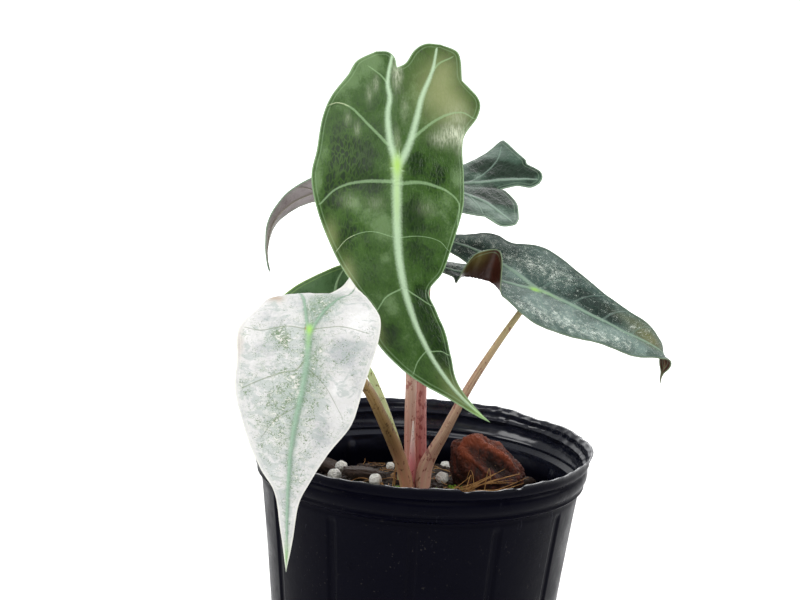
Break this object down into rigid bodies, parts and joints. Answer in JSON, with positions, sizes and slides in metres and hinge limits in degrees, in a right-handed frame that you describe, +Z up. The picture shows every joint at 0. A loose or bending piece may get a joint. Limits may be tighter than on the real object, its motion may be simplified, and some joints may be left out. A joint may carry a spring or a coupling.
{
  "type": "potted plant",
  "caption": "Variegated alocasia with arrow shaped leaves on slender petioles, growing in a thin black nursery pot filled with chunky potting mix.",
  "frame": {"origin": "middle of the pot's flat base, on the surface it stands on", "axes": "+Z up along the pot's axis; -Y towards the side the main leaf faces; +X to the right when seen from that side"},
  "size_m": [0.1836, 0.1654, 0.3113],
  "materials": {
    "blade_main": "satin, green with paler veins",
    "blade_flecked": "satin, blue green with white flecks",
    "blade_white": "satin, white and pale pink with green speckle",
    "blade_back": "satin, dark green with a silvery sheen and a purple underside",
    "blade_left": "satin, dark green",
    "petiole_main": "satin, pinkish tan",
    "petiole_back": "satin, pinkish red",
    "petiole_flecked": "satin, brownish pink",
    "petiole_white": "satin, olive brown",
    "petiole_left": "satin, light green",
    "pot": "satin black, thin formed sheet",
    "potting_mix": "rough, dark brown",
    "perlite": "matt, white",
    "bark": "rough, dark brown",
    "husk_chunk": "rough, reddish brown fibre"
  },
  "bodies": {
    "root": {"blade_main": "blade_main", "blade_flecked": "blade_flecked", "blade_white": "blade_white", "blade_back": "blade_back", "blade_left": "blade_left", "petiole_main": "petiole_main", "petiole_back": "petiole_back", "petiole_flecked": "petiole_flecked", "petiole_white": "petiole_white", "petiole_left": "petiole_left", "pot": "pot", "potting_mix": "potting_mix", "perlite_bead_1": "perlite", "perlite_bead_2": "perlite", "perlite_bead_3": "perlite", "perlite_bead_4": "perlite", "perlite_bead_5": "perlite", "perlite_bead_6": "perlite", "perlite_bead_7": "perlite", "perlite_bead_8": "perlite", "perlite_bead_9": "perlite", "bark_chip_1": "bark", "bark_chip_2": "bark", "bark_chip_3": "bark", "bark_chip_4": "bark", "bark_chip_5": "bark", "bark_chip_6": "bark", "husk_chunk": "husk_chunk"}
  },
  "joints": []
}
